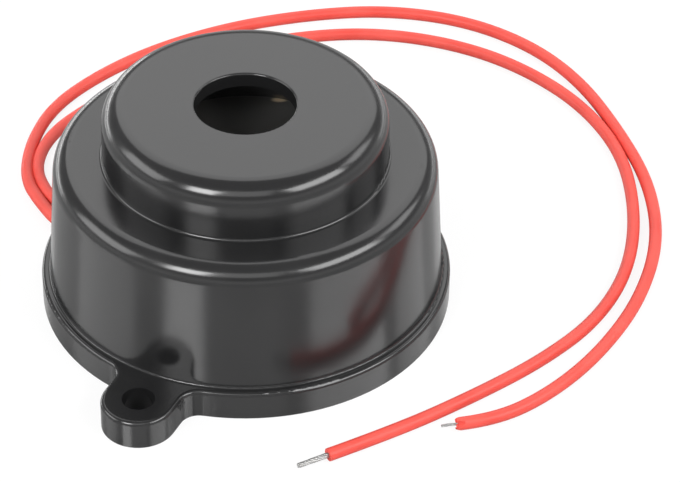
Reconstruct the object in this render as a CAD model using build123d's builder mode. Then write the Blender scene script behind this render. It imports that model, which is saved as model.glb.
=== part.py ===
from build123d import *
import os
from math import cos, pi, radians, sin, tan

# Piezo alarm buzzer in a round moulded case: a wide drum with two screw ears, a raised cap
# over the diaphragm with one large sound hole, and two loose red leads.
# Millimetres, +Z up. The origin is the middle of the case's underside, the ears lie along X
# and the leads leave towards +Y.

os.makedirs("parts", exist_ok=True)

# Case, outside
body_r = 21.0               # the drum where it stands on the flange
body_draft = 3.3            # degrees, so that the moulding leaves its tool
shoulder_z = 17.8           # flat shoulder round the cap
body_edge_r = 2.0
cap_r = 15.05
cap_draft = 0.6
top_z = 24.15
cap_edge_r = 2.3
cap_root_r = 0.35           # small fillet where the cap rises from the shoulder
flange_lip = 0.9            # how far the flange stands out from the drum
flange_h = 3.25
flange_edge_r = 0.45
flange_root_r = 0.3
sound_hole_r = 5.3
sound_hole_edge_r = 0.25
ear_reach = 3.1             # from the flange's rim to the middle of a screw hole
ear_r = 3.9
ear_hole_r = 1.7            # clears a 3 mm screw
ear_root_r = 2.0            # hollow corner between ear and flange

# Case, inside
body_wall = 1.6
roof = 1.7                  # shoulder plate
cap_wall = 2.5              # round the sound chamber, wide enough to carry the diaphragm's ledge
cap_roof = 1.6              # round the sound hole
bore_draft = 3.0
seat_w = 1.1                # width of the ledge that the diaphragm is glued to
collar_w = 1.2              # ring under the shoulder that centres the diaphragm
collar_h = 1.0
stop_count = 6              # moulded ribs that the board lies against
first_stop_turn = 30.0
stop_w = 1.4
stop_depth = 1.5
stop_root = 0.5             # how far a rib is rooted in the wall and in the shoulder plate
resin_recess = 0.6
resin_t = 3.0
notch_w = 5.0               # slot in the rim for the leads
notch_h = 1.8

# Diaphragm
plate_t = 0.3
plate_gap = 0.1             # between the plate's rim and the case
brass_rim = 3.8             # bare brass outside the ceramic
ceramic_t = 0.25
ceramic_rim = 0.65          # bare ceramic outside the silver
silver_t = 0.1
tongue_w = 3.0              # feedback electrode, an island in the silver
tongue_l = 5.0
tongue_gap = 0.6
bead_w = 0.9                # silicone bead under the plate's rim

# Board
board_t = 1.6
board_gap = 0.2
pad_r = 0.95
joint_h = 1.1
joint_tip_r = 0.4
leg_gap = 0.15              # board hole round a leg

# Board parts
diode_r = 1.3
diode_l = 5.0
diode_edge_r = 0.3
diode_leg_r = 0.35
diode_pitch = 9.5
resistor_r = 1.15
resistor_l = 6.2
resistor_cap_l = 1.25
resistor_slope_l = 0.5
resistor_waist_r = 0.95
resistor_edge_r = 0.22
resistor_leg_r = 0.3
resistor_pitch = 10.0
leg_bend_r = 0.9
coil_r = 3.9
coil_h = 7.6
coil_core_r = 1.9
coil_lip = 1.2
coil_sheath = 0.3
winding_gap = 0.4           # from the winding to the sleeve
coil_legs = 3
coil_leg_r = 0.3
coil_leg_ring = 2.6
electrolytic_r = 2.5
electrolytic_h = 9.0
electrolytic_edge_r = 0.3
electrolytic_groove = 0.25
electrolytic_groove_z = 1.5
electrolytic_pitch = 2.0
film_l = 13.0
film_w = 5.0
film_h = 8.5
film_edge_r = 0.4
film_chamfer = 0.3
film_pitch = 10.0
film_foot = 1.0
film_leg_r = 0.35
part_stand = 0.3            # gap under parts that stand on the board
transistor_r = 2.4
transistor_flat = 1.3       # from the axis to the flat face
transistor_h = 4.6
transistor_edge_r = 0.2
transistor_stand = 2.4
transistor_pitch = 1.27
transistor_leg_r = 0.25

# Where the parts stand on the board, from its middle or from its rim
diode_x = 8.2
diode_row_y = -6.4
diode_row_pitch = 3.7
resistor_x = 8.4
resistor_y = 1.0
resistor_rim_gap = 5.0
coil_turn = 140.0           # degrees round from +X
coil_rim_gap = 2.8
electrolytic_turn = 40.0
electrolytic_rim_gap = 4.6
film_rim_gap = 4.4
transistor_wire_gap = 0.65  # from the feedback wire to its flat face
lead_pad_rim_gap = 2.7

# Hook-up wires from the board to the diaphragm
wire_r = 0.45
wire_bend_r = 2.6
wire_rise = 3.6             # straight at each end
wire_solder_r = 1.0
wire_solder_h = 0.5
drive_board_y = -5.2
drive_plate_y = -2.0
feedback_board_x = 2.4
feedback_board_y = 4.6
ground_turn = 200.0

# Leads
lead_d = 1.4
core_d = 0.6                # tinned strands
outer_exit_x = -0.6         # where they leave through the slot
inner_exit_x = 1.6
lead_exit_z = 0.95
lead_grip = 1.5             # length held in the resin
lead_rise = 0.05            # height that is left at the third point of a route
outer_bare = 1.7            # stripped length at the far ends
inner_bare = 3.55
arc_share = 0.45            # of the shorter run, for the arc at a corner

# How near an edge lies to the place it is chosen by, and the share of a wall that a fillet may take
near = 0.01
fillet_share = 0.8

# Sizes that follow from the ones above
flange_r = body_r + flange_lip
ear_pitch = 2 * (flange_r + ear_reach)
flange_edge = min(flange_edge_r, fillet_share * (flange_lip - flange_root_r))
ceiling_z = shoulder_z - roof
cap_ceiling_z = top_z - cap_roof
seat_z = ceiling_z
sound_bore_r = cap_r - cap_wall
plate_bore_r = sound_bore_r + seat_w
plate_r = plate_bore_r - plate_gap
ceramic_r = plate_r - brass_rim
silver_r = ceramic_r - ceramic_rim
tongue_y = silver_r - tongue_l / 2
ceramic_z = seat_z - plate_t
silver_z = ceramic_z - ceramic_t
wire_top_z = silver_z - silver_t
bead_h = collar_h - plate_t
resin_top_z = resin_recess + resin_t
board_top_z = resin_top_z + board_t
foot_bore_r = body_r - body_wall + flange_h * tan(radians(bore_draft))


def bore_r(z):
    """Radius of the drafted room inside the drum at height z."""
    return foot_bore_r - z * tan(radians(bore_draft))


def polar(r, turn):
    """Point at radius r, turned by so many degrees from +X."""
    return (r * cos(radians(turn)), r * sin(radians(turn)))


board_r = bore_r(board_top_z) - board_gap
lead_start_y = bore_r(lead_exit_z) - lead_grip

diode_places = [(side * diode_x, diode_row_y + row * diode_row_pitch) for side in (-1, 1) for row in (0, 1)]
resistor_places = [
    (-resistor_x, resistor_y), (resistor_x, resistor_y), (0, board_r - resistor_rim_gap - resistor_r)]
coil_place = polar(board_r - coil_rim_gap - coil_sheath - coil_r, coil_turn)
electrolytic_place = polar(board_r - electrolytic_rim_gap - electrolytic_r, electrolytic_turn)
film_place = (0, film_rim_gap + film_w / 2 - board_r)
transistor_place = (0, tongue_y + wire_r + transistor_wire_gap + transistor_flat)
lead_pads = [(x, board_r - lead_pad_rim_gap) for x in (outer_exit_x, inner_exit_x)]

# Each hook-up wire: its point on the board and its point on the diaphragm
bare_brass_r = (ceramic_r + plate_r - bead_w) / 2
drive_wire_ends = [(0, drive_board_y), (0, drive_plate_y)]
feedback_wire_ends = [(feedback_board_x, feedback_board_y), (0, tongue_y)]
ground_wire_ends = [(-feedback_board_x, feedback_board_y), polar(bare_brass_r, ground_turn)]

# Routes of the two leads, from inside the rim to the end of the red insulation
lead_floor_z = lead_d / 2
outer_route = [
    (outer_exit_x, lead_start_y, lead_exit_z), (outer_exit_x, 22.4, lead_exit_z),
    (1.9, 26.6, lead_floor_z + lead_rise), (5.2, 30.6, lead_floor_z), (11.5, 33.3, lead_floor_z),
    (18.8, 34.1, lead_floor_z), (26.5, 32.4, lead_floor_z), (34.4, 28.8, lead_floor_z),
    (42.3, 22.9, lead_floor_z), (48.7, 15.7, lead_floor_z), (53.6, 7.8, lead_floor_z),
    (55.8, -1.5, lead_floor_z), (54.5, -10.7, lead_floor_z), (50.2, -18.8, lead_floor_z),
    (43.3, -26.6, lead_floor_z), (35.2, -33.1, lead_floor_z), (25.7, -37.8, lead_floor_z),
    (15.1, -39.6, lead_floor_z), (5.0, -38.9, lead_floor_z), (-3.1, -36.7, lead_floor_z),
    (-9.4, -33.2, lead_floor_z), (-11.8, -29.8, lead_floor_z)]
inner_route = [
    (inner_exit_x, lead_start_y, lead_exit_z), (inner_exit_x, 22.2, lead_exit_z),
    (4.2, 26.7, lead_floor_z + lead_rise), (8.2, 30.4, lead_floor_z), (14.4, 31.7, lead_floor_z),
    (21.0, 30.2, lead_floor_z), (28.4, 27.2, lead_floor_z), (36.4, 22.3, lead_floor_z),
    (43.3, 15.7, lead_floor_z), (48.5, 7.6, lead_floor_z), (50.7, -1.7, lead_floor_z),
    (50.0, -10.9, lead_floor_z), (46.1, -20.3, lead_floor_z), (38.9, -28.1, lead_floor_z),
    (29.2, -33.8, lead_floor_z), (19.2, -36.7, lead_floor_z), (9.7, -36.6, lead_floor_z),
    (1.1, -33.8, lead_floor_z), (-6.9, -29.7, lead_floor_z), (-15.0, -24.9, lead_floor_z),
    (-21.8, -19.9, lead_floor_z)]


def save(piece, name):
    """Label a finished piece and write it to its own file."""
    piece.part.label = name
    export_step(piece.part, f"parts/{name}.step")


# Moulded case, one piece
with BuildPart() as housing:
    with BuildSketch():
        Circle(flange_r)
        SlotCenterToCenter(ear_pitch, 2 * ear_r)
        corners = vertices().filter_by(lambda v: abs(Vector(v.X, v.Y).length - flange_r) < near and v.Y != 0)
        fillet(corners, radius=ear_root_r)
    extrude(amount=flange_h)
    fillet(faces().sort_by(Axis.Z)[-1].outer_wire().edges(), radius=flange_edge)

    # Drum and cap, drafted so that they narrow upwards
    with BuildSketch(Plane.XY.offset(flange_h)):
        Circle(body_r)
    extrude(amount=shoulder_z - flange_h, taper=body_draft)
    with BuildSketch(Plane.XY.offset(shoulder_z)):
        Circle(cap_r)
    extrude(amount=top_z - shoulder_z, taper=cap_draft)
    rings = edges().filter_by(GeomType.CIRCLE)
    fillet(rings.filter_by_position(Axis.Z, top_z - near, top_z + near), radius=cap_edge_r)
    shoulder_rings = edges().filter_by(GeomType.CIRCLE).filter_by_position(
        Axis.Z, shoulder_z - near, shoulder_z + near).sort_by(SortBy.RADIUS)
    fillet(shoulder_rings[-1], radius=body_edge_r)
    fillet(shoulder_rings[0], radius=cap_root_r)
    body_root = [e for e in edges().filter_by(GeomType.CIRCLE).filter_by_position(
        Axis.Z, flange_h - near, flange_h + near) if abs(e.radius - body_r) < near]
    fillet(body_root, radius=flange_root_r)

    # Room for the board and its parts, and the sound chamber over the diaphragm's ledge
    with BuildSketch(Plane.XZ):
        with BuildLine():
            Polyline(
                (0, 0), (bore_r(0), 0), (bore_r(ceiling_z), ceiling_z), (sound_bore_r, ceiling_z),
                (sound_bore_r, cap_ceiling_z), (0, cap_ceiling_z), close=True)
        make_face()
    revolve(axis=Axis.Z, mode=Mode.SUBTRACT)

    # Collar that centres the diaphragm
    with BuildSketch(Plane.XY.offset(ceiling_z - collar_h)):
        Circle(plate_bore_r + collar_w)
        Circle(plate_bore_r, mode=Mode.SUBTRACT)
    extrude(amount=collar_h)

    # Ribs that stop the board, from the ceiling down
    with BuildSketch(Plane.XY.offset(board_top_z)):
        rib_in = bore_r(ceiling_z) - stop_depth
        rib_out = bore_r(board_top_z) + stop_root
        with PolarLocations((rib_in + rib_out) / 2, stop_count, start_angle=first_stop_turn):
            Rectangle(rib_out - rib_in, stop_w)
    extrude(amount=ceiling_z - board_top_z + stop_root)

    # Sound hole, screw holes and the slot for the leads
    with Locations((0, 0, top_z)):
        Hole(sound_hole_r, depth=top_z - seat_z)
    with Locations((-ear_pitch / 2, 0, flange_h), (ear_pitch / 2, 0, flange_h)):
        Hole(ear_hole_r, depth=flange_h)
    hole_rim = [e for e in edges().filter_by(GeomType.CIRCLE).filter_by_position(
        Axis.Z, top_z - near, top_z + near) if abs(e.radius - sound_hole_r) < near]
    fillet(hole_rim, radius=sound_hole_edge_r)
    with BuildSketch(Plane.XY):
        with Locations((0, lead_start_y)):
            Rectangle(notch_w, flange_r, align=(Align.CENTER, Align.MIN))
    extrude(amount=notch_h, mode=Mode.SUBTRACT)

save(housing, "housing")

# Brass plate of the diaphragm, glued up against the ledge
with BuildPart(Plane.XY.offset(ceramic_z)) as diaphragm_plate:
    Cylinder(plate_r, plate_t, align=(Align.CENTER, Align.CENTER, Align.MIN))
save(diaphragm_plate, "diaphragm_plate")

with BuildPart(Plane.XY.offset(silver_z)) as piezo_ceramic:
    Cylinder(ceramic_r, ceramic_t, align=(Align.CENTER, Align.CENTER, Align.MIN))
save(piezo_ceramic, "piezo_ceramic")

# Silver on the ceramic: the main electrode, with a bay for the feedback tongue
with BuildPart() as main_electrode:
    with BuildSketch(Plane.XY.offset(wire_top_z)):
        Circle(silver_r)
        with Locations((0, tongue_y)):
            Rectangle(tongue_w + 2 * tongue_gap, tongue_l + 2 * tongue_gap, mode=Mode.SUBTRACT)
    extrude(amount=silver_t)
save(main_electrode, "main_electrode")

with BuildPart() as feedback_electrode:
    with BuildSketch(Plane.XY.offset(wire_top_z)):
        Circle(silver_r)
        with Locations((0, tongue_y)):
            Rectangle(tongue_w, tongue_l, mode=Mode.INTERSECT)
    extrude(amount=silver_t)
save(feedback_electrode, "feedback_electrode")

# Silicone bead in the corner under the plate's rim
with BuildPart() as silicone_bead:
    with BuildSketch(Plane.XZ):
        with BuildLine():
            Polyline(
                (plate_bore_r, ceramic_z), (plate_bore_r - bead_w - plate_gap, ceramic_z),
                (plate_bore_r, ceramic_z - bead_h), close=True)
        make_face()
    revolve(axis=Axis.Z)
save(silicone_bead, "silicone_bead")


# Legs: (x, y, leg radius) of each wire that goes through the board
def pair(place, pitch, r):
    """Two legs either side of a place, in line with X."""
    return [(place[0] - pitch / 2, place[1], r), (place[0] + pitch / 2, place[1], r)]


diode_legs = [leg for place in diode_places for leg in pair(place, diode_pitch, diode_leg_r)]
resistor_legs = [leg for place in resistor_places for leg in pair(place, resistor_pitch, resistor_leg_r)]
coil_leg_places = [
    (coil_place[0] + coil_leg_ring * cos(radians(90 + 360 * i / coil_legs)),
     coil_place[1] + coil_leg_ring * sin(radians(90 + 360 * i / coil_legs)), coil_leg_r)
    for i in range(coil_legs)]
electrolytic_legs = pair(electrolytic_place, electrolytic_pitch, coil_leg_r)
film_legs = pair(film_place, film_pitch, film_leg_r)
transistor_legs = [
    (transistor_place[0] + i * transistor_pitch, transistor_place[1], transistor_leg_r) for i in (-1, 0, 1)]
board_legs = diode_legs + resistor_legs + coil_leg_places + electrolytic_legs + film_legs + transistor_legs
joint_places = [(x, y) for x, y, r in board_legs] + lead_pads

with BuildPart(Plane.XY.offset(resin_top_z)) as circuit_board:
    Cylinder(board_r, board_t, align=(Align.CENTER, Align.CENTER, Align.MIN))
    for x, y, r in board_legs:
        with Locations((x, y, board_t)):
            Hole(r + leg_gap, depth=board_t)
save(circuit_board, "circuit_board")


# Diodes lying on the board, each with the pale band at its cathode end
for i, (x, y) in enumerate(diode_places, start=1):
    with BuildPart() as diode:
        axis_z = board_top_z + diode_r
        with Locations(Location((x, y, axis_z), (0, 90, 0))):
            Cylinder(diode_r, diode_l)
        fillet(edges().filter_by(GeomType.CIRCLE), radius=diode_edge_r)
    save(diode, f"diode_{i}")

# Resistors: a waist between two caps
for i, (x, y) in enumerate(resistor_places, start=1):
    with BuildPart() as resistor:
        axis_z = board_top_z + resistor_r
        half = resistor_l / 2
        slope_x = half - resistor_cap_l
        waist_x = slope_x - resistor_slope_l
        with BuildSketch(Plane((x, y, axis_z), x_dir=(1, 0, 0), z_dir=(0, -1, 0))):
            with BuildLine():
                Polyline((-half, 0), (-half, resistor_r), (-slope_x, resistor_r),
                         (-waist_x, resistor_waist_r), (waist_x, resistor_waist_r),
                         (slope_x, resistor_r), (half, resistor_r), (half, 0), close=True)
            make_face()
        revolve(axis=Axis((x, y, axis_z), (1, 0, 0)))
        fillet(edges().filter_by(GeomType.CIRCLE).filter_by(
            lambda e: abs(e.radius - resistor_r) < near), radius=resistor_edge_r)
    save(resistor, f"resistor_{i}")


def bent_leg_routes(places, pitch, body_l, axis_z):
    """Corner points of the wires that leave both ends of lying bodies and bend down through the board."""
    return [
        [(x + side * body_l / 2, y, axis_z), (x + side * pitch / 2, y, axis_z),
         (x + side * pitch / 2, y, resin_top_z)]
        for x, y in places for side in (-1, 1)]


with BuildPart() as diode_wires:
    for route in bent_leg_routes(diode_places, diode_pitch, diode_l, board_top_z + diode_r):
        with BuildLine() as path:
            FilletPolyline(*route, radius=leg_bend_r)
        with BuildSketch(Plane(origin=path.line @ 0, z_dir=path.line % 0)):
            Circle(diode_leg_r)
        sweep(path=path.line)
save(diode_wires, "diode_wires")

with BuildPart() as resistor_wires:
    for route in bent_leg_routes(resistor_places, resistor_pitch, resistor_l, board_top_z + resistor_r):
        with BuildLine() as path:
            FilletPolyline(*route, radius=leg_bend_r)
        with BuildSketch(Plane(origin=path.line @ 0, z_dir=path.line % 0)):
            Circle(resistor_leg_r)
        sweep(path=path.line)
save(resistor_wires, "resistor_wires")

# Step-up coil: ferrite bobbin, copper winding and the sleeve shrunk round it
coil_x, coil_y = coil_place
coil_foot_z = board_top_z + part_stand
with BuildPart(Plane((coil_x, coil_y, coil_foot_z))) as coil_core:
    Cylinder(coil_r, coil_h, align=(Align.CENTER, Align.CENTER, Align.MIN))
    with BuildSketch(Plane((coil_x, coil_y, coil_foot_z + coil_lip))):
        Circle(coil_r)
        Circle(coil_core_r, mode=Mode.SUBTRACT)
    extrude(amount=coil_h - 2 * coil_lip, mode=Mode.SUBTRACT)
save(coil_core, "coil_core")

winding_r = coil_r - winding_gap
with BuildPart() as coil_winding:
    with BuildSketch(Plane((coil_x, coil_y, coil_foot_z + coil_lip))):
        Circle(winding_r)
        Circle(coil_core_r, mode=Mode.SUBTRACT)
    extrude(amount=coil_h - 2 * coil_lip)
save(coil_winding, "coil_winding")

with BuildPart() as coil_sleeve:
    with BuildSketch(Plane((coil_x, coil_y, coil_foot_z))):
        Circle(coil_r + coil_sheath)
        Circle(coil_r, mode=Mode.SUBTRACT)
    extrude(amount=coil_h)
save(coil_sleeve, "coil_sleeve")

# Electrolytic capacitor: can with its crimped groove and rounded rims
can_foot = (*electrolytic_place, board_top_z + part_stand)
with BuildPart(Plane(can_foot)) as electrolytic_capacitor:
    Cylinder(electrolytic_r, electrolytic_h, align=(Align.CENTER, Align.CENTER, Align.MIN))
    fillet(edges().filter_by(GeomType.CIRCLE), radius=electrolytic_edge_r)
    with BuildSketch(Plane(can_foot, x_dir=(1, 0, 0), z_dir=(0, -1, 0))):
        with Locations((electrolytic_r + electrolytic_groove, electrolytic_groove_z)):
            Circle(2 * electrolytic_groove)
    revolve(axis=Axis((*electrolytic_place, 0), (0, 0, 1)), mode=Mode.SUBTRACT)
save(electrolytic_capacitor, "electrolytic_capacitor")

# Film capacitor: a moulded box on two small feet
with BuildPart(Plane((*film_place, board_top_z + part_stand))) as film_capacitor:
    Box(film_l, film_w, film_h, align=(Align.CENTER, Align.CENTER, Align.MIN))
    fillet(edges().filter_by(Axis.Z), radius=film_edge_r)
    chamfer(faces().sort_by(Axis.Z)[-1].edges(), length=film_chamfer)
    with Locations(*[(side * (film_l - film_foot) / 2, 0, 0) for side in (-1, 1)]):
        Box(film_foot, film_w - film_foot, part_stand, align=(Align.CENTER, Align.CENTER, Align.MAX))
save(film_capacitor, "film_capacitor")

# Transistor: a half-round body with one flat face
with BuildPart() as transistor:
    with BuildSketch(Plane((*transistor_place, board_top_z + transistor_stand))):
        Circle(transistor_r)
        with Locations((0, -transistor_flat - transistor_r)):
            Rectangle(4 * transistor_r, 2 * transistor_r, mode=Mode.SUBTRACT)
    extrude(amount=transistor_h)
    fillet(faces().sort_by(Axis.Z)[-1].edges(), radius=transistor_edge_r)
save(transistor, "transistor")


upright_legs = [(leg, coil_foot_z) for leg in coil_leg_places]
upright_legs += [(leg, board_top_z + part_stand) for leg in electrolytic_legs + film_legs]
upright_legs += [(leg, board_top_z + transistor_stand) for leg in transistor_legs]
with BuildPart() as radial_legs:
    for (x, y, r), leg_top_z in upright_legs:
        with BuildSketch(Plane((x, y, resin_top_z))):
            Circle(r)
        extrude(amount=leg_top_z - resin_top_z)
save(radial_legs, "radial_legs")

# Solder joints under the board
with BuildPart() as solder_joints:
    for x, y in joint_places:
        with Locations((x, y, resin_top_z)):
            Cone(joint_tip_r, pad_r, joint_h, align=(Align.CENTER, Align.CENTER, Align.MAX))
save(solder_joints, "solder_joints")

# Solder dots that hold the hook-up wires: on the board, on the silver and on the brass
dot_places = [
    (drive_wire_ends[1], wire_top_z, Align.MAX), (feedback_wire_ends[1], wire_top_z, Align.MAX),
    (ground_wire_ends[1], ceramic_z, Align.MAX)]
for ends in (drive_wire_ends, feedback_wire_ends, ground_wire_ends):
    dot_places.append((ends[0], board_top_z, Align.MIN))
with BuildPart() as wire_solder:
    for (x, y), z, side in dot_places:
        with Locations((x, y, z)):
            Cylinder(wire_solder_r, wire_solder_h, align=(Align.CENTER, Align.CENTER, side))
save(wire_solder, "wire_solder")

# Hook-up wires, up from the board, across and up again
for name, ends, end_z in (
        ("drive_wire", drive_wire_ends, wire_top_z), ("feedback_wire", feedback_wire_ends, wire_top_z),
        ("ground_wire", ground_wire_ends, ceramic_z)):
    (x0, y0), (x1, y1) = ends
    low_z = board_top_z + wire_solder_h
    high_z = end_z - wire_solder_h
    with BuildPart() as hook_up_wire:
        with BuildLine() as wire_path:
            FilletPolyline((x0, y0, low_z), (x0, y0, low_z + wire_rise), (x1, y1, high_z - wire_rise),
                           (x1, y1, high_z), radius=wire_bend_r)
        with BuildSketch(Plane(origin=wire_path.line @ 0, z_dir=wire_path.line % 0)):
            Circle(wire_r)
        sweep(path=wire_path.line)
    save(hook_up_wire, name)


def corner_radii(route):
    """Arc radius at each corner, as large as its two runs allow, and the turn there in degrees."""
    points = [Vector(*p) for p in route]
    runs = [b - a for a, b in zip(points, points[1:])]
    radii = []
    turns = []
    for before, after in zip(runs, runs[1:]):
        turn = before.get_angle(after)
        radii.append(arc_share * min(before.length, after.length) / tan(radians(turn / 2)))
        turns.append(turn)
    return radii, turns, [run.length for run in runs]


# The two red leads, their stripped tips and the tails that are soldered to the board
tip_lines = []
for name, route, bare, pad in (
        ("outer", outer_route, outer_bare, lead_pads[0]), ("inner", inner_route, inner_bare, lead_pads[1])):
    radii, turns, runs = corner_radii(route)
    with BuildPart() as lead:
        with BuildLine() as lead_path:
            FilletPolyline(*route, radius=radii)
        with BuildSketch(Plane(origin=lead_path.line @ 0, z_dir=lead_path.line % 0)):
            Circle(lead_d / 2)
        sweep(path=lead_path.line)
    save(lead, f"{name}_lead")
    end = lead_path.line @ 1
    heading = lead_path.line % 1
    with BuildPart() as tip:
        with BuildSketch(Plane(origin=end, z_dir=heading)):
            Circle(core_d / 2)
        extrude(amount=bare)
    save(tip, f"{name}_tip")
    length = sum(edge.length for edge in lead_path.edges())
    exact = length * pi * lead_d ** 2 / 4
    print(name, "lead length", round(length, 1), "volume", round(lead.part.volume, 2),
          "expected", round(exact, 2))
    print("  radii", [round(r, 1) for r in radii])
    print("  turns", [round(t) for t in turns], "runs", [round(r, 1) for r in runs])

with BuildPart() as lead_tails:
    for x, y in lead_pads:
        with BuildLine() as tail_path:
            FilletPolyline((x, lead_start_y, lead_exit_z), (x, y, lead_exit_z), (x, y, resin_top_z - joint_h),
                           radius=leg_bend_r)
        with BuildSketch(Plane(origin=tail_path.line @ 0, z_dir=tail_path.line % 0)):
            Circle(core_d / 2)
        sweep(path=tail_path.line)
save(lead_tails, "lead_tails")

# Black resin that seals the underside, poured round the joints, the tails and the leads
with BuildPart() as resin_fill:
    with BuildSketch(Plane.XZ):
        with BuildLine():
            Polyline((0, resin_recess), (bore_r(resin_recess), resin_recess),
                     (bore_r(resin_top_z), resin_top_z), (0, resin_top_z), close=True)
        make_face()
    revolve(axis=Axis.Z)
    add(solder_joints.part, mode=Mode.SUBTRACT)
    add(lead_tails.part, mode=Mode.SUBTRACT)
    for x in (outer_exit_x, inner_exit_x):
        with BuildSketch(Plane((x, lead_start_y, lead_exit_z), x_dir=(1, 0, 0), z_dir=(0, 1, 0))):
            Circle(lead_d / 2)
        extrude(amount=flange_r - lead_start_y, mode=Mode.SUBTRACT)
save(resin_fill, "resin_fill")
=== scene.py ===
import bpy
import bmesh
import math
from mathutils import Matrix, Vector


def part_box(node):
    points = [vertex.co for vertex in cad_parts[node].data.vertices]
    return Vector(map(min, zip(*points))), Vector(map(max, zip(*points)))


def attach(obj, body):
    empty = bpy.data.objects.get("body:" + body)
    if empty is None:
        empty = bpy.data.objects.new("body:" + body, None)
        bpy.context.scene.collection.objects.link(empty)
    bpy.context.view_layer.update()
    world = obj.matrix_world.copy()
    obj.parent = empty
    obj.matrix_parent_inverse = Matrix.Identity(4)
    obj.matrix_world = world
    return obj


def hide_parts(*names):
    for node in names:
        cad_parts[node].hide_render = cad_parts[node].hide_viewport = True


# Looks of a round piezo alarm buzzer with two red leads. Everything is in metres, in the frame's own place.
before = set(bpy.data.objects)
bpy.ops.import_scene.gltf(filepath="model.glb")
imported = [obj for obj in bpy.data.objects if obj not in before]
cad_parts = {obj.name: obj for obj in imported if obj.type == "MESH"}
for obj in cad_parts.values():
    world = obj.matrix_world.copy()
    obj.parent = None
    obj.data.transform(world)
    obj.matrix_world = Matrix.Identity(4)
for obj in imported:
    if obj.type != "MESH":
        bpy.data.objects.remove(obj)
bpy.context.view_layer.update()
mm = 0.001
print("frame loaded:", len(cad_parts), "nodes")

view = {
    "place": (-0.246152, -0.122191, 0.222155),
    "aim": (0.002034, -0.010077, 0.008),
    "roll": 0.887,            # degrees, the horizon's small lean
    "lens": 173.0,
    "sensor": 36.0,
    "nearest": 0.01,          # clipping of the camera
    "farthest": 20.0,
}

leadWire = {
    "diameter": 1.4 * mm,
    "smoothSteps": 10,        # points of the curve between two route points
    "roundness": 8,           # Blender's bevel resolution of the tube
    "weld": 0.001 * mm,       # points closer than this are one
    "smoothAngle": math.radians(40),
}

# From inside the slot in the rim, round behind the case and back to the cut end at the front
outerRoute = [
    (-0.0006, 0.01802, 0.00095), (-0.0006, 0.0224, 0.00095), (0.0021, 0.0264, 0.00075),
    (0.0054, 0.0303, 0.0007), (0.0116, 0.0330, 0.0007), (0.0188, 0.0341, 0.0007),
    (0.0265, 0.0324, 0.0007), (0.0344, 0.0288, 0.0007), (0.0423, 0.0229, 0.0007),
    (0.0487, 0.0157, 0.0007), (0.0536, 0.0078, 0.0007), (0.0558, -0.0015, 0.0007),
    (0.0545, -0.0107, 0.0007), (0.0502, -0.0188, 0.0007), (0.0431, -0.0263, 0.0007),
    (0.0352, -0.0331, 0.0007), (0.0257, -0.0378, 0.0007), (0.0151, -0.0396, 0.0007),
    (0.0050, -0.0389, 0.0007), (-0.0031, -0.0367, 0.0007), (-0.0094, -0.0332, 0.0007),
    (-0.0118, -0.0298, 0.0007)]
innerRoute = [
    (0.0016, 0.01802, 0.00095), (0.0016, 0.0222, 0.00095), (0.0040, 0.0269, 0.00075),
    (0.0081, 0.0306, 0.0007), (0.0143, 0.0318, 0.0007), (0.0210, 0.0302, 0.0007),
    (0.0284, 0.0272, 0.0007), (0.0364, 0.0223, 0.0007), (0.0433, 0.0157, 0.0007),
    (0.0485, 0.0076, 0.0007), (0.0507, -0.0017, 0.0007), (0.0500, -0.0109, 0.0007),
    (0.0461, -0.0205, 0.0007), (0.0391, -0.0284, 0.0007), (0.0292, -0.0338, 0.0007),
    (0.0192, -0.0367, 0.0007), (0.0097, -0.0366, 0.0007), (0.0011, -0.0338, 0.0007),
    (-0.0069, -0.0297, 0.0007), (-0.0150, -0.0249, 0.0007), (-0.0218, -0.0199, 0.0007)]


def clearSelection():
    if bpy.context.object and bpy.context.object.mode != "OBJECT":
        bpy.ops.object.mode_set(mode="OBJECT")
    bpy.ops.object.select_all(action="DESELECT")


def makeActive(piece):
    clearSelection()
    piece.select_set(True)
    bpy.context.view_layer.objects.active = piece


# Shader node helpers


def newMaterial(name, shaderValues):
    material = bpy.data.materials.new(name)
    material.use_nodes = True
    shader = material.node_tree.nodes["Principled BSDF"]
    for socket, value in shaderValues.items():
        shader.inputs[socket].default_value = value
    return material


def addNode(tree, kind, values=None, **settings):
    node = tree.nodes.new(kind)
    for name, value in settings.items():
        setattr(node, name, value)
    for socket, value in (values or {}).items():
        node.inputs[socket].default_value = value
    return node


def newGroup(name, inputs, outputs):
    group = bpy.data.node_groups.new(name, "ShaderNodeTree")
    for label, kind, value in inputs:
        socket = group.interface.new_socket(label, in_out="INPUT", socket_type="NodeSocket" + kind)
        if value is not None:
            socket.default_value = value
    for label, kind in outputs:
        group.interface.new_socket(label, in_out="OUTPUT", socket_type="NodeSocket" + kind)
    return group, group.nodes.new("NodeGroupInput"), group.nodes.new("NodeGroupOutput")


def placeGroup(material, group, values, centre=(0, 0, 0), turn=(0, 0, 0)):
    # Puts a group in a material, on the object's own coordinates seen from a centre and turned
    tree = material.node_tree
    coordinates = addNode(tree, "ShaderNodeTexCoord")
    mapping = addNode(tree, "ShaderNodeMapping")
    mapping.inputs["Location"].default_value = Matrix.Rotation(turn[2], 3, "Z") @ -Vector(centre)
    mapping.inputs["Rotation"].default_value = turn
    tree.links.new(coordinates.outputs["Object"], mapping.inputs["Vector"])
    node = addNode(tree, "ShaderNodeGroup", node_tree=group)
    tree.links.new(mapping.outputs["Vector"], node.inputs["Vector"])
    for socket, value in values.items():
        node.inputs[socket].default_value = value
    return node


def addBump(material, height, distance):
    tree = material.node_tree
    bump = addNode(tree, "ShaderNodeBump", {"Distance": distance, "Strength": 1.0})
    tree.links.new(height, bump.inputs["Height"])
    tree.links.new(bump.outputs["Normal"], tree.nodes["Principled BSDF"].inputs["Normal"])


def feedShader(material, output, socket):
    material.node_tree.links.new(output, material.node_tree.nodes["Principled BSDF"].inputs[socket])


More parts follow.
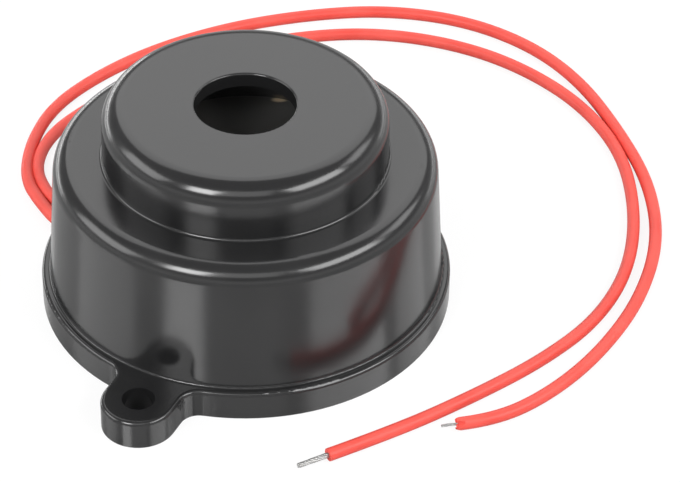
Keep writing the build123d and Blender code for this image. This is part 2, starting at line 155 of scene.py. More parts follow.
def feedTone(material, tone):
    feedShader(material, tone.outputs["Color"], "Base Color")
    feedShader(material, tone.outputs["Roughness"], "Roughness")


# Node groups that the finishes are made of


def makeMottleGroup():
    group, given, result = newGroup(
        "mottledColour",
        [("Vector", "Vector", None), ("Scale", "Float", 400.0), ("Colour A", "Color", (0.1, 0.1, 0.1, 1)),
         ("Colour B", "Color", (0.2, 0.2, 0.2, 1)), ("Rough A", "Float", 0.3), ("Rough B", "Float", 0.4)],
        [("Color", "Color"), ("Roughness", "Float")])
    cloud = addNode(group, "ShaderNodeTexNoise", {"Detail": 4.0, "Roughness": 0.55})
    spread = addNode(group, "ShaderNodeMapRange", {"From Min": 0.32, "From Max": 0.68})
    colour = addNode(group, "ShaderNodeMix", data_type="RGBA")
    rough = addNode(group, "ShaderNodeMix", data_type="FLOAT")
    link = group.links.new
    link(given.outputs["Vector"], cloud.inputs["Vector"])
    link(given.outputs["Scale"], cloud.inputs["Scale"])
    link(cloud.outputs["Fac"], spread.inputs["Value"])
    link(spread.outputs["Result"], colour.inputs["Factor"])
    link(spread.outputs["Result"], rough.inputs["Factor"])
    link(given.outputs["Colour A"], colour.inputs["A"])
    link(given.outputs["Colour B"], colour.inputs["B"])
    link(given.outputs["Rough A"], rough.inputs["A"])
    link(given.outputs["Rough B"], rough.inputs["B"])
    link(colour.outputs["Result"], result.inputs["Color"])
    link(rough.outputs["Result"], result.inputs["Roughness"])
    return group


def makeGrainGroup():
    # Fine grain over broad ripple, as one height
    group, given, result = newGroup(
        "grainHeight",
        [("Vector", "Vector", None), ("Fine Scale", "Float", 2500.0), ("Broad Scale", "Float", 120.0),
         ("Fine Part", "Float", 0.3)],
        [("Height", "Float")])
    fine = addNode(group, "ShaderNodeTexNoise", {"Detail": 2.0})
    broad = addNode(group, "ShaderNodeTexNoise", {"Detail": 1.0})
    blend = addNode(group, "ShaderNodeMix", data_type="FLOAT")
    link = group.links.new
    link(given.outputs["Vector"], fine.inputs["Vector"])
    link(given.outputs["Vector"], broad.inputs["Vector"])
    link(given.outputs["Fine Scale"], fine.inputs["Scale"])
    link(given.outputs["Broad Scale"], broad.inputs["Scale"])
    link(given.outputs["Fine Part"], blend.inputs["Factor"])
    link(broad.outputs["Fac"], blend.inputs["A"])
    link(fine.outputs["Fac"], blend.inputs["B"])
    link(blend.outputs["Result"], result.inputs["Height"])
    return group


def makeDrawnGroup():
    # Fine lines along one axis, as on rolled sheet and drawn wire
    group, given, result = newGroup(
        "drawnLines",
        [("Vector", "Vector", None), ("Stretch", "Vector", (1.0, 1.0, 1.0)), ("Scale", "Float", 1500.0)],
        [("Height", "Float")])
    stretched = addNode(group, "ShaderNodeVectorMath", operation="MULTIPLY")
    lines = addNode(group, "ShaderNodeTexNoise", {"Detail": 3.0})
    link = group.links.new
    link(given.outputs["Vector"], stretched.inputs[0])
    link(given.outputs["Stretch"], stretched.inputs[1])
    link(stretched.outputs["Vector"], lines.inputs["Vector"])
    link(given.outputs["Scale"], lines.inputs["Scale"])
    link(lines.outputs["Fac"], result.inputs["Height"])
    return group


def makeBandGroup():
    # A mask that is 1 within a band across X, at a place along X
    group, given, result = newGroup(
        "bandAcross",
        [("Vector", "Vector", None), ("Place", "Float", 0.0), ("Half Width", "Float", 0.0005)],
        [("Mask", "Float")])
    parts = addNode(group, "ShaderNodeSeparateXYZ")
    away = addNode(group, "ShaderNodeMath", operation="SUBTRACT")
    size = addNode(group, "ShaderNodeMath", operation="ABSOLUTE")
    inside = addNode(group, "ShaderNodeMath", operation="LESS_THAN")
    link = group.links.new
    link(given.outputs["Vector"], parts.inputs["Vector"])
    link(parts.outputs["X"], away.inputs[0])
    link(given.outputs["Place"], away.inputs[1])
    link(away.outputs["Value"], size.inputs[0])
    link(size.outputs["Value"], inside.inputs[0])
    link(given.outputs["Half Width"], inside.inputs[1])
    link(inside.outputs["Value"], result.inputs["Mask"])
    return group


def makeSpotGroup():
    # A soft-edged oval mask, 1 at the vector's origin and 0 outside its half sizes
    group, given, result = newGroup(
        "softSpot",
        [("Vector", "Vector", None), ("Half Sizes", "Vector", (0.001, 0.001, 0.001))],
        [("Mask", "Float")])
    scaled = addNode(group, "ShaderNodeVectorMath", operation="DIVIDE")
    length = addNode(group, "ShaderNodeVectorMath", operation="LENGTH")
    fade = addNode(group, "ShaderNodeMapRange", {
        "From Min": 1.0, "From Max": 0.3, "To Min": 0.0, "To Max": 1.0}, interpolation_type="SMOOTHSTEP")
    link = group.links.new
    link(given.outputs["Vector"], scaled.inputs[0])
    link(given.outputs["Half Sizes"], scaled.inputs[1])
    link(scaled.outputs["Vector"], length.inputs[0])
    link(length.outputs["Value"], fade.inputs["Value"])
    link(fade.outputs["Result"], result.inputs["Mask"])
    return group


mottle = makeMottleGroup()
spot = makeSpotGroup()
grain = makeGrainGroup()
drawn = makeDrawnGroup()
band = makeBandGroup()


def grey(level):
    return (level, level, level, 1)


# Finishes


def makeMouldedCase():
    finish = {"ripple": 0.012 * mm}
    material = newMaterial("mouldedCase", {"IOR": 1.58})
    tone = placeGroup(material, mottle, {
        "Scale": 180.0, "Colour A": (0.0118, 0.0118, 0.0122, 1), "Colour B": (0.0145, 0.0145, 0.0149, 1),
        "Rough A": 0.16, "Rough B": 0.21})
    feedTone(material, tone)
    waves = placeGroup(material, grain, {"Fine Scale": 3000.0, "Broad Scale": 90.0, "Fine Part": 0.06})
    addBump(material, waves.outputs["Height"], finish["ripple"])
    return material


def makePouredResin():
    finish = {"wave": 0.12 * mm}
    material = newMaterial("pouredResin", {"IOR": 1.54, "Coat Weight": 0.2, "Coat Roughness": 0.08})
    tone = placeGroup(material, mottle, {
        "Scale": 240.0, "Colour A": grey(0.012), "Colour B": grey(0.02), "Rough A": 0.2, "Rough B": 0.34})
    feedTone(material, tone)
    waves = placeGroup(material, grain, {"Fine Scale": 900.0, "Broad Scale": 140.0, "Fine Part": 0.12})
    addBump(material, waves.outputs["Height"], finish["wave"])
    return material


def makeLaminate():
    finish = {"fibre": 0.03 * mm}
    material = newMaterial("boardLaminate", {"IOR": 1.5})
    tone = placeGroup(material, mottle, {
        "Scale": 900.0, "Colour A": (0.5, 0.32, 0.12, 1), "Colour B": (0.66, 0.46, 0.2, 1),
        "Rough A": 0.42, "Rough B": 0.6})
    feedTone(material, tone)
    fibres = placeGroup(material, drawn, {"Stretch": (1.0, 0.15, 1.0), "Scale": 2600.0})
    addBump(material, fibres.outputs["Height"], finish["fibre"])
    return material


def makeRolledBrass():
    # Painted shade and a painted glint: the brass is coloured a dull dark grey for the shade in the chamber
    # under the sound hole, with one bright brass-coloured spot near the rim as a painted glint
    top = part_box("diaphragm_plate")[1].z
    finish = {"line": 0.004 * mm, "paintedGlintCentre": (12.2 * mm, 1.95 * mm, top), "paintedGlintTurn": math.radians(64),
              "paintedGlintSizes": (1.1 * mm, 0.6 * mm, 0.5 * mm), "paintedGlintColour": (0.85, 0.68, 0.46, 1)}
    material = newMaterial("rolledBrass", {"Metallic": 0.2})
    # Painted shade: dark grey in place of the brass's own colour
    tone = placeGroup(material, mottle, {
        "Scale": 300.0, "Colour A": (0.072, 0.0715, 0.07, 1), "Colour B": (0.086, 0.084, 0.08, 1),
        "Rough A": 0.42, "Rough B": 0.52})
    # Painted glint: a bright brass-coloured spot mixed into the colour near the rim
    paintedGlintMask = placeGroup(material, spot, {"Half Sizes": finish["paintedGlintSizes"]}, centre=finish["paintedGlintCentre"],
                      turn=(0, 0, finish["paintedGlintTurn"]))
    paintedGlintMix = addNode(material.node_tree, "ShaderNodeMix", data_type="RGBA")
    paintedGlintMix.inputs["B"].default_value = finish["paintedGlintColour"]
    material.node_tree.links.new(paintedGlintMask.outputs["Mask"], paintedGlintMix.inputs["Factor"])
    material.node_tree.links.new(tone.outputs["Color"], paintedGlintMix.inputs["A"])
    feedShader(material, paintedGlintMix.outputs["Result"], "Base Color")
    feedShader(material, tone.outputs["Roughness"], "Roughness")
    lines = placeGroup(material, drawn, {"Stretch": (0.06, 1.0, 1.0), "Scale": 4000.0})
    addBump(material, lines.outputs["Height"], finish["line"])
    return material


def makeFiredCeramic():
    finish = {"pit": 0.01 * mm}
    material = newMaterial("firedCeramic", {"IOR": 1.7})
    tone = placeGroup(material, mottle, {
        "Scale": 2200.0, "Colour A": (0.55, 0.51, 0.42, 1), "Colour B": (0.68, 0.65, 0.56, 1),
        "Rough A": 0.5, "Rough B": 0.68})
    feedTone(material, tone)
    pits = placeGroup(material, grain, {"Fine Scale": 5000.0, "Broad Scale": 1500.0, "Fine Part": 0.5})
    addBump(material, pits.outputs["Height"], finish["pit"])
    return material


def makePrintedSilver():
    finish = {"mesh": 0.006 * mm}
    material = newMaterial("printedSilver", {"Metallic": 1.0})
    tone = placeGroup(material, mottle, {
        "Scale": 1500.0, "Colour A": (0.68, 0.67, 0.64, 1), "Colour B": (0.84, 0.83, 0.8, 1),
        "Rough A": 0.42, "Rough B": 0.56})
    feedTone(material, tone)
    mesh = placeGroup(material, grain, {"Fine Scale": 7000.0, "Broad Scale": 2500.0, "Fine Part": 0.6})
    addBump(material, mesh.outputs["Height"], finish["mesh"])
    return material


def makeSiliconeBead():
    finish = {"depth": 0.8 * mm, "lump": 0.15 * mm}
    material = newMaterial("siliconeBead", {
        "IOR": 1.41, "Subsurface Weight": 0.25, "Subsurface Scale": finish["depth"]})
    tone = placeGroup(material, mottle, {
        "Scale": 500.0, "Colour A": (0.72, 0.72, 0.69, 1), "Colour B": (0.82, 0.82, 0.8, 1),
        "Rough A": 0.28, "Rough B": 0.42})
    feedTone(material, tone)
    lumps = placeGroup(material, grain, {"Fine Scale": 1200.0, "Broad Scale": 320.0, "Fine Part": 0.15})
    addBump(material, lumps.outputs["Height"], finish["lump"])
    return material


def makeEpoxyBody(name, level, rough):
    finish = {"paler": 1.35, "rougher": 0.12, "pit": 0.015 * mm}
    material = newMaterial(name, {"IOR": 1.52})
    tone = placeGroup(material, mottle, {
        "Scale": 1800.0, "Colour A": grey(level), "Colour B": grey(level * finish["paler"]),
        "Rough A": rough, "Rough B": rough + finish["rougher"]})
    feedTone(material, tone)
    pits = placeGroup(material, grain, {"Fine Scale": 6000.0, "Broad Scale": 1800.0, "Fine Part": 0.5})
    addBump(material, pits.outputs["Height"], finish["pit"])
    return material, tone


def addBands(material, tone, node, bands):
    # Printed rings round a body that lies along X, placed from the body's middle
    low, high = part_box(node)
    middle = (low + high) / 2
    tree = material.node_tree
    colour = tone.outputs["Color"]
    for place, halfWidth, ink in bands:
        ring = placeGroup(material, band, {"Place": place, "Half Width": halfWidth}, centre=middle)
        paint = addNode(tree, "ShaderNodeMix", data_type="RGBA")
        paint.inputs["B"].default_value = ink
        tree.links.new(ring.outputs["Mask"], paint.inputs["Factor"])
        tree.links.new(colour, paint.inputs["A"])
        colour = paint.outputs["Result"]
    feedShader(material, colour, "Base Color")


def makeDiodeBody(node):
    cathodeRing = {"place": 1.6 * mm, "halfWidth": 0.5 * mm, "ink": grey(0.62)}
    material, tone = makeEpoxyBody("epoxy_" + node, 0.02, 0.3)
    addBands(material, tone, node, [(cathodeRing["place"], cathodeRing["halfWidth"], cathodeRing["ink"])])
    return material


resistorBands = {
    "inks": [(0.22, 0.02, 0.3, 1), (0.02, 0.25, 0.05, 1), (0.62, 0.08, 0.02, 1), (0.5, 0.33, 0.06, 1)],
    "first": -2.3 * mm,
    "pitch": 1.25 * mm,
    "halfWidth": 0.28 * mm,
}


def makeResistorBody(node):
    finish = {"drip": 0.06 * mm}
    material = newMaterial("lacquer_" + node, {"IOR": 1.5, "Coat Weight": 0.35})
    tone = placeGroup(material, mottle, {
        "Scale": 900.0, "Colour A": (0.6, 0.42, 0.24, 1), "Colour B": (0.7, 0.53, 0.33, 1),
        "Rough A": 0.3, "Rough B": 0.42})
    feedShader(material, tone.outputs["Roughness"], "Roughness")
    rings = [(resistorBands["first"] + i * resistorBands["pitch"], resistorBands["halfWidth"], ink)
             for i, ink in enumerate(resistorBands["inks"])]
    addBands(material, tone, node, rings)
    drips = placeGroup(material, grain, {"Fine Scale": 2000.0, "Broad Scale": 500.0, "Fine Part": 0.1})
    addBump(material, drips.outputs["Height"], finish["drip"])
    return material


def makeWindingCopper():
    # Turns of enamelled wire, one above the other. The wave texture runs 20 radians a unit at a scale of 1
    turns = {"pitch": 0.22 * mm, "depth": 0.05 * mm, "radiansPerUnit": 20}
    material = newMaterial("windingCopper", {"Metallic": 1.0, "Coat Weight": 0.5, "Coat Roughness": 0.15})
    tone = placeGroup(material, mottle, {
        "Scale": 700.0, "Colour A": (0.55, 0.2, 0.08, 1), "Colour B": (0.7, 0.3, 0.13, 1),
        "Rough A": 0.25, "Rough B": 0.38})
    feedTone(material, tone)
    tree = material.node_tree
    coordinates = addNode(tree, "ShaderNodeTexCoord")
    rows = addNode(tree, "ShaderNodeTexWave", {
        "Scale": 2 * math.pi / turns["radiansPerUnit"] / turns["pitch"]}, bands_direction="Z")
    tree.links.new(coordinates.outputs["Object"], rows.inputs["Vector"])
    addBump(material, rows.outputs["Fac"], turns["depth"])
    return material


def makeCanSleeve():
    # Dark shrink sleeve with bare aluminium at the top
    low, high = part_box("electrolytic_capacitor")
    finish = {"bareHeight": 0.5 * mm, "bareMetal": grey(0.75),
              "stripeHalf": 0.9 * mm, "stripeInk": grey(0.45)}
    material = newMaterial("canSleeve", {"IOR": 1.5})
    tone = placeGroup(material, mottle, {
        "Scale": 500.0, "Colour A": (0.012, 0.016, 0.05, 1), "Colour B": (0.018, 0.024, 0.075, 1),
        "Rough A": 0.25, "Rough B": 0.36})
    tree = material.node_tree
    coordinates = addNode(tree, "ShaderNodeTexCoord")
    parts = addNode(tree, "ShaderNodeSeparateXYZ")
    above = addNode(tree, "ShaderNodeMath", operation="GREATER_THAN")
    above.inputs[1].default_value = high.z - finish["bareHeight"]
    tree.links.new(coordinates.outputs["Object"], parts.inputs["Vector"])
    tree.links.new(parts.outputs["Z"], above.inputs[0])
    stripe = placeGroup(material, band, {"Half Width": finish["stripeHalf"]}, centre=(low + high) / 2)
    striped = addNode(tree, "ShaderNodeMix", data_type="RGBA")
    striped.inputs["B"].default_value = finish["stripeInk"]
    tree.links.new(stripe.outputs["Mask"], striped.inputs["Factor"])
    tree.links.new(tone.outputs["Color"], striped.inputs["A"])
    bare = addNode(tree, "ShaderNodeMix", data_type="RGBA")
    bare.inputs["B"].default_value = finish["bareMetal"]
    tree.links.new(above.outputs["Value"], bare.inputs["Factor"])
    tree.links.new(striped.outputs["Result"], bare.inputs["A"])
    feedShader(material, bare.outputs["Result"], "Base Color")
    feedShader(material, above.outputs["Value"], "Metallic")
    feedShader(material, tone.outputs["Roughness"], "Roughness")
    return material


def makeFilmBox():
    finish = {"texture": 0.03 * mm}
    material = newMaterial("filmBox", {"IOR": 1.5})
    tone = placeGroup(material, mottle, {
        "Scale": 900.0, "Colour A": (0.5, 0.24, 0.015, 1), "Colour B": (0.6, 0.32, 0.03, 1),
        "Rough A": 0.38, "Rough B": 0.5})
    feedTone(material, tone)
    texture = placeGroup(material, grain, {"Fine Scale": 4500.0, "Broad Scale": 1500.0, "Fine Part": 0.5})
    addBump(material, texture.outputs["Height"], finish["texture"])
    return material


def makeSolderShine():
    finish = {"lump": 0.05 * mm}
    material = newMaterial("solderShine", {"Metallic": 1.0})
    tone = placeGroup(material, mottle, {
        "Scale": 1200.0, "Colour A": (0.5, 0.5, 0.52, 1), "Colour B": (0.7, 0.7, 0.71, 1),
        "Rough A": 0.2, "Rough B": 0.36})
    feedTone(material, tone)
    lumps = placeGroup(material, grain, {"Fine Scale": 3000.0, "Broad Scale": 900.0, "Fine Part": 0.1})
    addBump(material, lumps.outputs["Height"], finish["lump"])
    return material


def makeTinnedWire():
    finish = {"line": 0.02 * mm}
    material = newMaterial("tinnedWire", {"Metallic": 1.0})
    tone = placeGroup(material, mottle, {
        "Scale": 2600.0, "Colour A": (0.34, 0.34, 0.345, 1), "Colour B": (0.5, 0.495, 0.48, 1),
        "Rough A": 0.32, "Rough B": 0.46})
    feedTone(material, tone)
    lines = placeGroup(material, grain, {"Fine Scale": 9000.0, "Broad Scale": 2600.0, "Fine Part": 0.35})
    addBump(material, lines.outputs["Height"], finish["line"])
    return material


def makeSheath(name, colourA, colourB, rough, lump):
    # Soft PVC: a little uneven in colour, with shallow lumps from its extruder
    finish = {"depth": 0.4 * mm, "rougher": 0.12}
    material = newMaterial(name, {
        "IOR": 1.46, "Subsurface Weight": 0.12, "Subsurface Scale": finish["depth"]})
    tone = placeGroup(material, mottle, {
        "Scale": 260.0, "Colour A": colourA, "Colour B": colourB,
        "Rough A": rough, "Rough B": rough + finish["rougher"]})
    feedTone(material, tone)
    lumps = placeGroup(material, grain, {"Fine Scale": 4000.0, "Broad Scale": 700.0, "Fine Part": 0.2})
    addBump(material, lumps.outputs["Height"], lump)
    return material


mouldedCase = makeMouldedCase()
redSheath = makeSheath("redSheath", (0.72, 0.068, 0.05, 1), (0.8, 0.092, 0.07, 1), 0.42, 0.03 * mm)
tinnedWire = makeTinnedWire()
ferriteGrain = makeEpoxyBody("ferriteGrain", 0.06, 0.45)[0]
shrinkSleeve = makeEpoxyBody("shrinkSleeve", 0.018, 0.4)[0]
transistorBody = makeEpoxyBody("transistorBody", 0.022, 0.5)[0]
paleSheath = makeSheath("paleSheath", (0.62, 0.62, 0.58, 1), (0.72, 0.72, 0.68, 1), 0.36, 0.02 * mm)

nodeFinishes = {
    "housing": mouldedCase,
    "resin_fill": makePouredResin(),
    "circuit_board": makeLaminate(),
    "diaphragm_plate": makeRolledBrass(),
    "piezo_ceramic": makeFiredCeramic(),
    "silicone_bead": makeSiliconeBead(),
    "coil_core": ferriteGrain,
    "coil_winding": makeWindingCopper(),
    "coil_sleeve": shrinkSleeve,
    "electrolytic_capacitor": makeCanSleeve(),
    "film_capacitor": makeFilmBox(),
    "transistor": transistorBody,
}
printedSilver = makePrintedSilver()
solderShine = makeSolderShine()
for node in ("main_electrode", "feedback_electrode"):
    nodeFinishes[node] = printedSilver
for node in ("diode_wires", "resistor_wires", "radial_legs", "lead_tails", "outer_tip", "inner_tip"):
    nodeFinishes[node] = tinnedWire
for node in ("solder_joints", "wire_solder"):
    nodeFinishes[node] = solderShine
for node in ("drive_wire", "feedback_wire", "ground_wire"):
    nodeFinishes[node] = paleSheath
for node in ("outer_lead", "inner_lead"):
    nodeFinishes[node] = redSheath
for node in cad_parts:
    if node.startswith("diode_") and node != "diode_wires":
        nodeFinishes[node] = makeDiodeBody(node)
    elif node.startswith("resistor_") and node != "resistor_wires":
        nodeFinishes[node] = makeResistorBody(node)

for node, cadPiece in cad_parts.items():
    for place in cadPiece.material_slots:
        place.material = nodeFinishes[node]
print("finishes made:", len(nodeFinishes))


# Leads


def routeCurve(name, route):
    data = bpy.data.curves.new(name, "CURVE")
    data.dimensions = "3D"
    spline = data.splines.new("NURBS")
    spline.points.add(len(route) - 1)
    for point, place in zip(spline.points, route):
        point.co = (*place, 1.0)
    spline.order_u = 3
    spline.use_endpoint_u = True
    spline.resolution_u = leadWire["smoothSteps"]
    piece = bpy.data.objects.new(name, data)
    bpy.context.scene.collection.objects.link(piece)
    return piece


def centreLine(curve):
    line = bpy.data.meshes.new_from_object(curve)
    points = [v.co.copy() for v in line.vertices]
    bpy.data.meshes.remove(line)
    return points


def makeLead(name, route, lobes):
    # The tube of a lead, closed at both ends
    curve = routeCurve(name, route)
    points = centreLine(curve)
    end = Vector(route[-1])
    heading = (end - Vector(route[-2])).normalized()
    curve.data.bevel_depth = leadWire["diameter"] / 2
    curve.data.bevel_resolution = leadWire["roundness"]
    curve.data.use_fill_caps = True
    makeActive(curve)
    bpy.ops.object.convert(target="MESH")
    lead = bpy.context.object
    bpy.ops.object.mode_set(mode="EDIT")
    bpy.ops.mesh.select_all(action="SELECT")
    bpy.ops.mesh.remove_doubles(threshold=leadWire["weld"])
    bpy.ops.mesh.normals_make_consistent(inside=False)
    if lobes:
        shapeLobes(lead, end, heading, lobes)
    bpy.ops.object.mode_set(mode="OBJECT")
    bpy.ops.object.shade_smooth_by_angle(angle=leadWire["smoothAngle"])
    lead.data.materials.clear()
    lead.data.materials.append(redSheath)
    return lead, points, end, heading


def shapeLobes(lead, end, heading, lobes):
    # The insulation was torn off here. The rim stands forward in two rounded lobes with a notch on
    # each side, and the cap closes the tube between them
    radius = leadWire["diameter"] / 2
    behindRim = 0.01 * mm
    side = heading.cross(Vector((0, 0, 1))).normalized()
    up = Matrix.Rotation(lobes["lean"], 3, heading) @ side.cross(heading).normalized()
    mesh = bmesh.from_edit_mesh(lead.data)
    for vertex in mesh.verts:
        away = vertex.co - end
        along = away.dot(heading)
        if away.length > leadWire["diameter"] or along < -behindRim:
            continue
        height = away.dot(up) / radius
        reach = lobes["top"] if height > 0 else lobes["bottom"]
        fromMiddle = (abs(height) - lobes["middle"]) / lobes["halfWidth"]
        lift = math.sqrt(max(0.0, 1.0 - fromMiddle ** 2))
        vertex.co += heading * (reach * lift - lobes["cutBack"])
    bmesh.update_edit_mesh(lead.data)


# The lobes' reach is forward. Their middle and half width are shares of the tube's radius
leads = {
    "outerLead": {"route": outerRoute, "node": "outer_lead",
                  "lobes": {"top": 0.85 * mm, "bottom": 0.92 * mm, "middle": 0.66, "halfWidth": 0.37,
                            "cutBack": 0.75 * mm, "lean": math.radians(39)}},
    "innerLead": {"route": innerRoute, "node": "inner_lead", "lobes": None},
}

# Strands at each cut end: one in the middle and count round it, twisted by an angle in degrees.
# They start inside the tube, by the length that inside gives
strandBundles = {
    "outerLead": {"name": "outerStrands", "node": "outer_tip", "length": 1.65 * mm, "inside": 0.95 * mm,
                  "strandRadius": 0.07 * mm, "count": 3, "ring": 0.08 * mm,
                  "twist": 200.0, "taper": 0.1},
    "innerLead": {"name": "innerStrands", "node": "inner_tip", "length": 3.5 * mm, "inside": 0.3 * mm,
                  "strandRadius": 0.115 * mm, "count": 6, "ring": 0.185 * mm,
                  "twist": 150.0, "taper": -0.12},
}
strandMesh = {
    "sides": 10,
    "cuts": 24,               # along the strand, so that it can be twisted
    "tipRounding": 0.6,       # share of the strand's radius
    "tipSegments": 3,
    "smoothAngle": math.radians(50),
}


def makeStrands(bundle, end, heading):
    # Strands twisted together and dipped in solder, built upright and then laid on the lead's end
    full = bundle["length"] + bundle["inside"]
    clearSelection()
    bpy.ops.mesh.primitive_cylinder_add(
        radius=bundle["strandRadius"], depth=full, vertices=strandMesh["sides"], location=(0, 0, full / 2))
    first = bpy.context.object
    first.name = bundle["name"]
    bpy.ops.object.mode_set(mode="EDIT")
    bpy.ops.mesh.select_mode(type="EDGE")
    bpy.ops.mesh.select_all(action="DESELECT")
    mesh = bmesh.from_edit_mesh(first.data)
    for edge in mesh.edges:
        edge.select = abs(edge.verts[0].co.z - edge.verts[1].co.z) > full / 2
    bmesh.update_edit_mesh(first.data)
    bpy.ops.mesh.subdivide(number_cuts=strandMesh["cuts"])
    bpy.ops.mesh.select_all(action="DESELECT")
    mesh = bmesh.from_edit_mesh(first.data)
    for edge in mesh.edges:
        edge.select = min(v.co.z for v in edge.verts) > full / 2 - leadWire["weld"]
    bmesh.update_edit_mesh(first.data)
    bpy.ops.mesh.bevel(offset=bundle["strandRadius"] * strandMesh["tipRounding"],
                       segments=strandMesh["tipSegments"], affect="EDGES")
    bpy.ops.object.mode_set(mode="OBJECT")
    bpy.ops.object.transform_apply(location=True, rotation=False, scale=False)
    copies = [first]
    for i in range(bundle["count"]):
        turn = 2 * math.pi * i / bundle["count"]
        copy = first.copy()
        copy.data = first.data.copy()
        bpy.context.scene.collection.objects.link(copy)
        copy.location = (bundle["ring"] * math.cos(turn), bundle["ring"] * math.sin(turn), 0)
        copies.append(copy)
    clearSelection()
    for copy in copies:
        copy.select_set(True)
    bpy.context.view_layer.objects.active = first
    bpy.ops.object.join()
    for method, factor in (("TWIST", math.radians(bundle["twist"])), ("TAPER", bundle["taper"])):
        modifier = first.modifiers.new(method.lower(), "SIMPLE_DEFORM")
        modifier.deform_method = method
        modifier.deform_axis = "Z"
        modifier.factor = factor
        bpy.ops.object.modifier_apply(modifier=modifier.name)
    bpy.ops.object.shade_smooth_by_angle(angle=strandMesh["smoothAngle"])
    first.matrix_world = Matrix.Translation(end - heading * bundle["inside"]) @ heading.to_track_quat(
        "Z", "Y").to_matrix().to_4x4()
    bpy.ops.object.transform_apply(location=True, rotation=True, scale=True)
    first.data.materials.clear()
    first.data.materials.append(tinnedWire)
    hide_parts(bundle["node"])
    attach(first, "root")
    return first


for name, facts in leads.items():
    lead, points, end, heading = makeLead(name, facts["route"], facts["lobes"])
    strands = makeStrands(strandBundles[name], end, heading)
    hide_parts(facts["node"])
    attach(lead, "root")


# Floor, lamps and camera

room = {
    "floorSize": 3.0,
    "floorColour": 0.5,
    "floorRough": 0.1,
    "floorIor": 2.3,
    "whiteForCamera": 0.85,      # share of plain white that the camera sees, the rest keeps the shadow
    "cameraLevel": 1.0,          # the background as the camera sees it
    "horizonLevel": 1.0,
    "upperLevel": 0.34,
    "horizonTop": 0.3,           # sine of the height up to which the walls of the room are paler
}


def makeFloor():
    clearSelection()
    bpy.ops.mesh.primitive_plane_add(size=room["floorSize"], location=(0, 0, 0))
    floor = bpy.context.object
    floor.name = "floor"
    material = newMaterial("whiteSheet", {"Base Color": grey(room["floorColour"]),
                                          "Roughness": room["floorRough"], "IOR": room["floorIor"]})
    tree = material.node_tree
    paths = addNode(tree, "ShaderNodeLightPath")
    shaded = addNode(tree, "ShaderNodeBsdfDiffuse", {"Color": grey(1.0)})
    white = addNode(tree, "ShaderNodeEmission", {"Color": grey(1.0), "Strength": 1.0})
    seen = addNode(tree, "ShaderNodeMixShader", {"Fac": room["whiteForCamera"]})
    mix = addNode(tree, "ShaderNodeMixShader")
    link = tree.links.new
    link(shaded.outputs["BSDF"], seen.inputs[1])
    link(white.outputs["Emission"], seen.inputs[2])
    link(paths.outputs["Is Camera Ray"], mix.inputs["Fac"])
    link(tree.nodes["Principled BSDF"].outputs["BSDF"], mix.inputs[1])
    link(seen.outputs["Shader"], mix.inputs[2])
    link(mix.outputs["Shader"], tree.nodes["Material Output"].inputs["Surface"])
    floor.data.materials.append(material)


def makeWorld():
    world = bpy.data.worlds.new("paleRoom")
    world.use_nodes = True
    bpy.context.scene.world = world
    tree = world.node_tree
    background = tree.nodes["Background"]
    paths = addNode(tree, "ShaderNodeLightPath")
    direction = addNode(tree, "ShaderNodeTexCoord")
    parts = addNode(tree, "ShaderNodeSeparateXYZ")
    level = addNode(tree, "ShaderNodeMapRange", {
        "From Min": 0.0, "From Max": room["horizonTop"],
        "To Min": room["horizonLevel"], "To Max": room["upperLevel"]}, interpolation_type="SMOOTHSTEP")
    mix = addNode(tree, "ShaderNodeMix", data_type="FLOAT")
    mix.inputs["B"].default_value = room["cameraLevel"]
    background.inputs["Color"].default_value = grey(1.0)
    tree.links.new(direction.outputs["Generated"], parts.inputs["Vector"])
    tree.links.new(parts.outputs["Z"], level.inputs["Value"])
    tree.links.new(level.outputs["Result"], mix.inputs["A"])
    tree.links.new(paths.outputs["Is Camera Ray"], mix.inputs["Factor"])
    tree.links.new(mix.outputs["Result"], background.inputs["Strength"])


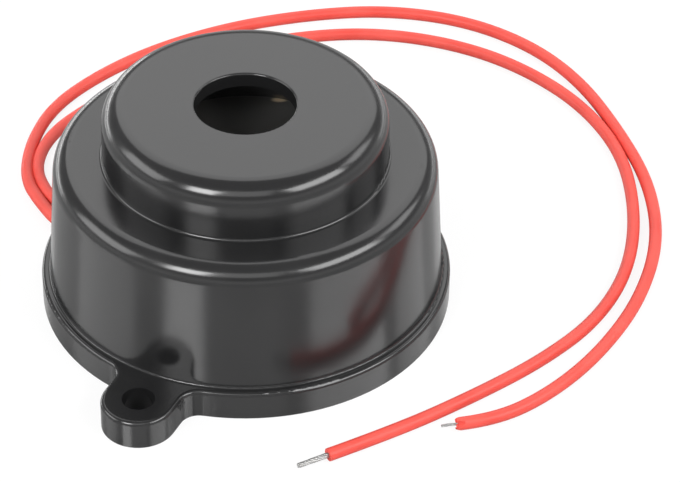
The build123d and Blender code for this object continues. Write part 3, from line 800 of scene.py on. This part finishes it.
# Softboxes: azimuth from +X and height above the floor in degrees, as seen from the case
boxAimHeight = 15 * mm
boxDistance = 0.6
softboxes = {
    "backPanel": {"azimuth": 22.0, "height": 46.0, "size": (0.6, 0.45), "power": 1.3},
    "leftBox": {"azimuth": 171.0, "height": 37.0, "size": (0.2, 0.22), "power": 1.8},
    "rightBox": {"azimuth": 266.0, "height": 37.0, "size": (0.44, 0.22), "power": 2.2},
    "leftBackBox": {"azimuth": 118.0, "height": 29.0, "size": (0.42, 0.26), "power": 1.2},
    "rightBackBox": {"azimuth": 315.0, "height": 36.0, "size": (0.26, 0.18), "power": 0.45},
    "frontBox": {"azimuth": 206.0, "height": 43.0, "size": (0.36, 0.26), "power": 0.4},
    "leftRim": {"azimuth": 62.0, "height": 3.5, "size": (0.5, 0.045), "power": 0.42},
    "rightRim": {"azimuth": -12.0, "height": 3.5, "size": (0.5, 0.045), "power": 0.14},
}


def makeSoftboxes():
    target = Vector((0, 0, boxAimHeight))
    for name, box in softboxes.items():
        azimuth = math.radians(box["azimuth"])
        height = math.radians(box["height"])
        level = math.cos(height)
        away = Vector((math.cos(azimuth) * level, math.sin(azimuth) * level, math.sin(height)))
        lamp = bpy.data.lights.new(name, "AREA")
        lamp.shape = "RECTANGLE"
        lamp.size, lamp.size_y = box["size"]
        lamp.energy = box["power"]
        holder = bpy.data.objects.new(name, lamp)
        bpy.context.scene.collection.objects.link(holder)
        holder.location = target + away * boxDistance
        holder.rotation_mode = "QUATERNION"
        holder.rotation_quaternion = (-away).to_track_quat("-Z", "Y")


def makeCamera():
    data = bpy.data.cameras.new("camera")
    data.lens = view["lens"]
    data.sensor_width = view["sensor"]
    data.sensor_fit = "HORIZONTAL"
    data.clip_start = view["nearest"]
    data.clip_end = view["farthest"]
    camera = bpy.data.objects.new("camera", data)
    bpy.context.scene.collection.objects.link(camera)
    place = Vector(view["place"])
    camera.location = place
    camera.rotation_mode = "QUATERNION"
    turn = (Vector(view["aim"]) - place).to_track_quat("-Z", "Y").to_matrix()
    lean = Matrix.Rotation(math.radians(view["roll"]), 3, "Z")
    camera.rotation_quaternion = (turn @ lean).to_quaternion()
    bpy.context.scene.camera = camera


makeFloor()
makeWorld()
makeSoftboxes()
makeCamera()
bpy.context.scene.view_settings.view_transform = "Standard"
print("floor, lamps and camera made")
